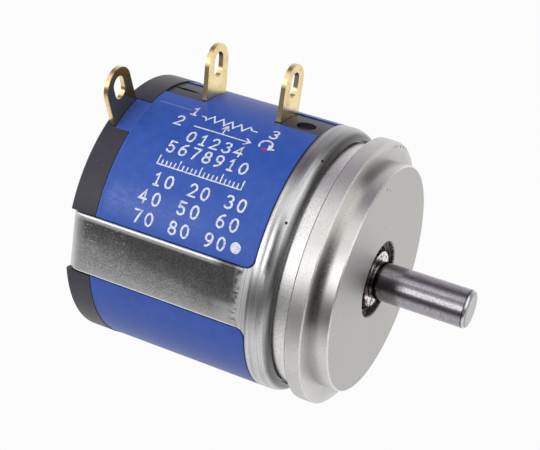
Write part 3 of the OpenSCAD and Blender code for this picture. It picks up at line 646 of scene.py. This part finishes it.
MATERIALS = {
    "plate_metal": plate_metal(),
    "bearing_steel": greased_steel("bearing_steel", (0.66, 0.66, 0.67), 0.14),
    "cage_brass": plain_steel("cage_brass", (0.40, 0.26, 0.17), 0.4),
    "shaft_steel": ground_shaft(),
    "clip_steel": greased_steel("clip_steel", (0.82, 0.80, 0.78), 0.16),
    "strap_steel": strap_steel(),
    "black_moulding": moulding("black_moulding", (0.021, 0.019, 0.034), 0.36),
    "blue_label": label_film(),
    "gold_plate": gold_plate(),
    "winding": plain_steel("winding", (0.5, 0.36, 0.24), 0.35),
    "rotor_moulding": moulding("rotor_moulding", (0.72, 0.69, 0.6), 0.5),
    "contact_alloy": plain_steel("contact_alloy", (0.8, 0.66, 0.4), 0.22),
}
INK = print_ink()


def dress_frame():
    """Gives every node the material of its slot."""
    slot_of = {entry["node"]: entry["material_slot"] for entry in frame["record"]["subparts"]}
    for name, piece in frame["nodes"].items():
        for slot in piece.material_slots:
            slot.material = MATERIALS[slot_of[name]]


# Printed marks on the label: plain numbers, the resistor sign and a turning arrow

PRINT_LIFT = 0.012 * MM
STROKE = 0.165 * MM
EDGE_WOBBLE = 0.018 * MM
# Most that a band widens at a sharp corner, and the share of its width that still counts as closed
MITRE_LIMIT = 2.0
CLOSED_GAP = 0.01
# Cuts across a mark, which let it follow the label's curve
CURVE_CUTS = 8
DIGIT_TALL = 0.98 * MM
DIGIT_WIDE = 0.6 * MM
DIGIT_STEP = 1.06 * MM
WIDE_STEP = 1.14 * MM
# The resistor sign: a zigzag, and below it an arrow with a riser to the zigzag
SIGN_LEFT = -14.1 * MM
ZIGZAG_RIGHT = -9.25 * MM
ZIGZAG_TURN = -19.9
ZIGZAG_PEAKS = 5
ZIGZAG_TALL = 0.36 * MM
ZIGZAG_STROKE = STROKE * 0.85
ARROW_RIGHT = -9.1 * MM
ARROW_TURN = -26.8
ARROW_HEAD = 0.45 * MM
ARROW_STROKE = STROKE * 0.8
RISER_TURN = -26.4
RISER_TOP = 0.95 * MM
RISER_STROKE = STROKE * 0.75
# The turning arrow: a curve open at its lower left, with two barbs
TURNING_LEFT = -7.85 * MM
TURNING_TURN = -25.6
TURNING_R = 0.52 * MM
TURNING_FROM, TURNING_TO = 215, -45
TURNING_STEPS = 20
TURNING_BARB = 0.42 * MM
# The scale: its length, its steps and its long and short ticks
SCALE_LENGTH = 7.4 * MM
SCALE_STEPS = 20
SCALE_STROKE = STROKE * 0.7
LONG_TICK_EVERY = 5
LONG_TICK = 0.75 * MM
SHORT_TICK = 0.42 * MM
DOT_R = 0.43 * MM
DOT_STROKE = DOT_R * 1.02
DOT_STEPS = 28


def arc(cx, cy, rx, ry, start, stop, steps=14):
    """Points on an ellipse, from one angle to another in degrees."""
    turns = [math.radians(start + (stop - start) * i / steps) for i in range(steps + 1)]
    return [(cx + rx * math.cos(t), cy + ry * math.sin(t)) for t in turns]


# Each digit's strokes in a cell one wide and one tall
DIGITS = {
    "0": [arc(0.5, 0.5, 0.48, 0.5, 90, 450)],
    "1": [[(0.18, 0.78), (0.55, 1.0), (0.55, 0.0)], [(0.2, 0.0), (0.9, 0.0)]],
    "2": [arc(0.48, 0.7, 0.44, 0.3, 165, -35) + [(0.04, 0.0), (1.0, 0.0)]],
    "3": [arc(0.45, 0.76, 0.42, 0.24, 150, -80), arc(0.45, 0.27, 0.5, 0.27, 80, -150)],
    "4": [[(0.98, 0.3), (0.0, 0.3), (0.7, 1.0), (0.7, 0.0)]],
    "5": [[(0.92, 1.0), (0.16, 1.0), (0.1, 0.56)] + arc(0.46, 0.31, 0.48, 0.31, 130, -150)],
    "6": [arc(0.5, 0.3, 0.46, 0.3, 90, 450), arc(0.95, 0.3, 0.9, 0.72, 178, 98)],
    "7": [[(0.02, 1.0), (0.98, 1.0), (0.36, 0.0)]],
    "8": [arc(0.5, 0.75, 0.38, 0.25, 90, 450), arc(0.5, 0.26, 0.48, 0.26, 90, 450)],
    "9": [arc(0.5, 0.7, 0.46, 0.3, 90, 450), arc(0.05, 0.7, 0.9, 0.72, -2, -82)],
}


def add_band(shape, points, width):
    """Adds a flat band of one width, with mitred corners and round ends, along flat points."""
    line = [Vector(p) for p in points]
    half = width / 2
    closed = (line[0] - line[-1]).length < width * CLOSED_GAP
    if closed:
        line.pop()
    count = len(line)
    rails = []
    for i, point in enumerate(line):
        before = line[i - 1] if i or closed else None
        after = line[(i + 1) % count] if i + 1 < count or closed else None
        steps = [(b - a).normalized() for a, b in ((before, point), (point, after)) if a and b]
        along = sum(steps, Vector((0.0, 0.0))).normalized()
        side = Vector((-along.y, along.x))
        stretch = 1 / max(1 / MITRE_LIMIT, side.dot(Vector((-steps[0].y, steps[0].x))))
        rails.append([shape.verts.new((*(point + side * half * stretch * s), 0.0)) for s in (1, -1)])
    pairs = list(zip(rails, rails[1:])) + ([(rails[-1], rails[0])] if closed else [])
    for (a, b), (c, d) in pairs:
        shape.faces.new((a, b, d, c))
    if not closed:
        add_round_end(shape, line[0], line[0] - line[1], rails[0])
        add_round_end(shape, line[-1], line[-1] - line[-2], rails[-1])


def add_round_end(shape, centre, outward, rail, steps=6):
    """Closes a band's end with a half disc."""
    half = (rail[0].co.xy - rail[1].co.xy).length / 2
    first = (rail[0].co.xy - centre).normalized()
    sign = 1 if first.x * outward.y - first.y * outward.x > 0 else -1
    rim = []
    for i in range(1, steps):
        spin = Matrix.Rotation(sign * math.pi * i / steps, 2)
        rim.append(shape.verts.new((*(centre + spin @ first * half), 0.0)))
    shape.faces.new([rail[0], *rim, rail[1]])


def wrap_on_label(shape, name, x, turn):
    """Bends a flat mark round the label, with slightly uneven edges and faces turned outwards."""
    heights = [vertex.co.y for vertex in shape.verts]
    low, tall = min(heights), max(heights) - min(heights)
    for i in range(1, CURVE_CUTS):
        everything = shape.verts[:] + shape.edges[:] + shape.faces[:]
        at = (0, low + tall * i / CURVE_CUTS, 0)
        bmesh.ops.bisect_plane(shape, geom=everything, plane_co=at, plane_no=(0, 1, 0))
    wobble = random.Random(name)
    for vertex in shape.verts:
        across, up = (value + wobble.uniform(-EDGE_WOBBLE, EDGE_WOBBLE) for value in vertex.co.xy)
        vertex.co = around(x + across, LABEL_R + PRINT_LIFT, turn + math.degrees(up / LABEL_R))
    for face in shape.faces:
        face.normal_update()
        centre = face.calc_center_median()
        if face.normal.dot(Vector((0.0, centre.y, centre.z))) < 0:
            face.normal_flip()


def print_mark(name, strokes, x, turn, width=STROKE):
    """Prints strokes on the label; they are in metres from a corner at x and turn."""
    shape = bmesh.new()
    for stroke in strokes:
        add_band(shape, stroke, width)
    wrap_on_label(shape, name, x, turn)
    mesh = bpy.data.meshes.new(name)
    shape.to_mesh(mesh)
    shape.free()
    piece = bpy.data.objects.new(name, mesh)
    bpy.context.scene.collection.objects.link(piece)
    piece.data.materials.append(INK)
    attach(piece, "case")


def print_number(name, digits, x, turn, step=DIGIT_STEP):
    """Prints digits in a row, from x in millimetres; a space leaves a gap of one digit."""
    strokes = []
    for place, digit in enumerate(digits):
        for stroke in DIGITS.get(digit, ()):
            strokes.append([(place * step + px * DIGIT_WIDE, py * DIGIT_TALL) for px, py in stroke])
    print_mark(name, strokes, x * MM, turn)


def print_resistor_sign():
    """Zigzag of the winding, with the wiper's arrow below it."""
    pitch = (ZIGZAG_RIGHT - SIGN_LEFT) / (2 * ZIGZAG_PEAKS + 2)
    zigzag = [(0.0, 0.0), (pitch * 0.75, 0.0)]
    for i in range(2 * ZIGZAG_PEAKS):
        zigzag.append((pitch * (i + 1.25), ZIGZAG_TALL if i % 2 else -ZIGZAG_TALL))
    zigzag += [(pitch * (2 * ZIGZAG_PEAKS + 1), 0.0), (pitch * (2 * ZIGZAG_PEAKS + 2), 0.0)]
    print_mark("sign_zigzag", [zigzag], SIGN_LEFT, ZIGZAG_TURN, ZIGZAG_STROKE)

    length = ARROW_RIGHT - SIGN_LEFT
    back, spread = length - ARROW_HEAD, ARROW_HEAD * 0.7
    line = [(0.0, 0.0), (length, 0.0)]
    barbs = [(back, spread), (length, 0.0), (back, -spread)]
    print_mark("sign_arrow", [line, barbs], SIGN_LEFT, ARROW_TURN, ARROW_STROKE)

    middle = length / 2
    below, spread = RISER_TOP - ARROW_HEAD, ARROW_HEAD * 0.6
    riser = [(middle, 0.0), (middle, RISER_TOP)]
    riser_barbs = [(middle - spread, below), (middle, RISER_TOP), (middle + spread, below)]
    print_mark("sign_riser", [riser, riser_barbs], SIGN_LEFT, RISER_TURN, RISER_STROKE)


def print_turning_arrow():
    """A curved arrow that gives the turning direction, clockwise."""
    sweep = arc(0.0, 0.0, TURNING_R, TURNING_R, TURNING_FROM, TURNING_TO, TURNING_STEPS)
    end = Vector(sweep[-1])
    side_barb = end + Vector((TURNING_BARB * 0.95, TURNING_BARB * 0.25))
    back_barb = end + Vector((-TURNING_BARB * 0.1, TURNING_BARB))
    barbs = [tuple(side_barb), tuple(end), tuple(back_barb)]
    print_mark("sign_turning", [sweep, barbs], TURNING_LEFT, TURNING_TURN)


def print_scale(name, x, turn):
    """A plain scale line with short and long ticks, from x in millimetres."""
    pitch = SCALE_LENGTH / SCALE_STEPS
    strokes = [[(0.0, 0.0), (SCALE_LENGTH, 0.0)]]
    for i in range(SCALE_STEPS + 1):
        tall = SHORT_TICK if i % LONG_TICK_EVERY else LONG_TICK
        strokes.append([(i * pitch, 0.0), (i * pitch, tall)])
    print_mark(name, strokes, x * MM, turn, SCALE_STROKE)


def print_dot(name, x, turn):
    """A round dot at x in millimetres: a ring so wide that it closes in the middle."""
    ring = arc(0.0, 0.0, DOT_R / 2, DOT_R / 2, 0, 360, DOT_STEPS)
    print_mark(name, [ring], x * MM, turn, DOT_STROKE)


def print_label():
    """Every mark has its place along the shaft in millimetres and its turn round it in degrees."""
    print_number("print_1", "1", -15.2, -20.7)
    print_number("print_2", "2", -15.8, -28.4)
    print_number("print_3", "3", -8.1, -20.9)
    print_resistor_sign()
    print_turning_arrow()
    print_number("print_row_1", "01234", -14.0, -35.1)
    print_number("print_row_2", "5678910", -15.05, -42.2)
    print_scale("print_scale", -15.2, -48.6)
    print_number("print_row_3", "10 20 30", -14.9, -57.1)
    print_number("print_row_4", "40 50 60", -15.5, -65.2, WIDE_STEP)
    print_number("print_row_5", "70 80 90", -15.5, -73.6)
    print_dot("print_dot", -6.55, -70.8)


# Camera, studio and light

CAMERA_PLACE = (31.318 * MM, -94.127 * MM, 43.795 * MM)
CAMERA_AZIMUTH = 22.951
CAMERA_ELEVATION = 22.417
CAMERA_ROLL = 8.825
FOCAL_PIXELS = 1333.5
IMAGE_WIDTH = 540
SENSOR = 36.0
CLIP_START = 0.001
CLIP_END = 10.0
# Brightness of the studio seen in reflections, by angle round the X axis: front 0, up 90, back 180
STUDIO = (
    (-180, 0.95), (-5, 0.45), (-1, 0.8), (3, 1.6), (7, 1.85), (24, 1.85), (29, 1.3), (36, 1.15), (45, 0.92),
    (54, 1.02), (66, 1.0), (76, 0.76), (86, (0.34, 0.30, 0.35)), (94, (0.21, 0.18, 0.22)),
    (106, (0.20, 0.17, 0.21)), (114, (0.34, 0.31, 0.35)), (124, (0.50, 0.46, 0.51)),
    (136, (0.62, 0.59, 0.63)), (150, 0.74), (180, 0.92),
)
# The same beyond the studio's left half, where one wide lamp hangs over a dark stand
STUDIO_RIGHT = (
    (-180, 0.95), (-5, 0.14), (2, 0.14), (14, 0.30), (25, 0.65), (35, 0.92), (45, 1.12), (92, 1.12),
    (102, 0.90), (110, 0.42), (118, 0.31), (134, 0.34), (150, 0.55), (180, 0.92),
)
# Where the left half ends and the right half starts, by the X part of a direction
HALVES_MEET = (-0.14, 0.0)
# Brightness of the floor seen in reflections, by place towards the back, in metres
FLOOR_GLOW = (
    (-1.20, 0.60), (-0.76, 0.45), (-0.31, 0.19), (-0.18, 0.12), (-0.13, 0.14), (-0.095, 0.32),
    (-0.066, 0.66), (-0.046, 0.84), (-0.03, 0.86), (0.0, 0.78), (0.03, 0.82), (0.066, 0.88), (0.15, 0.95),
    (0.30, 0.92),
)
FLOOR_DROP = 0.055
FLOOR_HALF = 1.2
FLOOR_GREY = 0.85
# Share of plain white in the floor as the camera sees it; the rest keeps the shadow
FLOOR_WHITE = 0.9
WHITE = (1.0, 1.0, 1.0)
LAMP_PLACE = (-0.16, -0.30, 0.34)
LAMP_SIZE = 0.26
LAMP_POWER = 0.5


def place_camera():
    camera = bpy.data.cameras.new("camera")
    camera.sensor_width = SENSOR
    camera.lens = FOCAL_PIXELS / IMAGE_WIDTH * SENSOR
    camera.clip_start = CLIP_START
    camera.clip_end = CLIP_END
    piece = bpy.data.objects.new("camera", camera)
    bpy.context.scene.collection.objects.link(piece)
    turn = Matrix.Rotation(math.radians(CAMERA_AZIMUTH), 4, "Z")
    tilt = Matrix.Rotation(math.radians(90 - CAMERA_ELEVATION), 4, "X")
    roll = Matrix.Rotation(math.radians(CAMERA_ROLL), 4, "Z")
    piece.matrix_world = Matrix.Translation(CAMERA_PLACE) @ turn @ tilt @ roll
    bpy.context.scene.camera = piece


def studio_world():
    """White behind the part, with the studio's bands of light and shade in its reflections."""
    world = bpy.data.worlds.new("studio")
    bpy.context.scene.world = world
    world.use_nodes = True
    world.node_tree.nodes.clear()
    n = Nodes(world.node_tree, "Generated")
    forward = n.times(n.y, -1.0)
    degrees = n.math("DEGREES", n.math("ARCTAN2", n.z, forward))
    halves = n.mix(n.share(n.x, *HALVES_MEET), n.by(degrees, *STUDIO), n.by(degrees, *STUDIO_RIGHT))
    room = n.light("ShaderNodeBackground", halves)
    behind = n.light("ShaderNodeBackground", WHITE)
    seen = n.seen_directly(n.add("ShaderNodeLightPath"))
    output = n.add("ShaderNodeOutputWorld")
    n.link(n.mix_shaders(seen, room, behind), output.inputs["Surface"])


def pale_floor():
    """A plain white floor below the part; it keeps the shadow, and metal reflects its shades."""
    low = cad_box[0][2] - FLOOR_DROP
    corners = [(x * FLOOR_HALF, y * FLOOR_HALF, low) for x, y in ((-1, -1), (1, -1), (1, 1), (-1, 1))]
    mesh = bpy.data.meshes.new("floor")
    mesh.from_pydata(corners, [], [(0, 1, 2, 3)])
    floor = bpy.data.objects.new("floor", mesh)
    bpy.context.scene.collection.objects.link(floor)
    material = new_material("floor_white", (FLOOR_GREY, FLOOR_GREY, FLOOR_GREY), 0.8)
    n = Surface(material)
    light_path = n.add("ShaderNodeLightPath")
    white = n.light("ShaderNodeEmission", WHITE)
    mirrored = n.light("ShaderNodeEmission", n.by(n.y, *FLOOR_GLOW))
    share = n.times(n.seen_directly(light_path), FLOOR_WHITE)
    plain = n.mix_shaders(share, n.shader.outputs[0], white)
    blend = n.mix_shaders(light_path.outputs["Is Glossy Ray"], plain, mirrored)
    n.link(blend, n.tree.nodes["Material Output"].inputs["Surface"])
    floor.data.materials.append(material)


def hang_lamp():
    """A square lamp above and in front, aimed at the part and unseen in reflections."""
    light = bpy.data.lights.new("key", "AREA")
    light.shape = "RECTANGLE"
    light.size = LAMP_SIZE
    light.size_y = LAMP_SIZE
    light.energy = LAMP_POWER
    piece = bpy.data.objects.new("key", light)
    bpy.context.scene.collection.objects.link(piece)
    piece.location = LAMP_PLACE
    piece.rotation_euler = (-Vector(LAMP_PLACE)).to_track_quat("-Z", "Y").to_euler()
    piece.visible_glossy = False


dress_frame()
print_label()
place_camera()
studio_world()
pale_floor()
hang_lamp()

bpy.context.scene.view_settings.view_transform = "Standard"
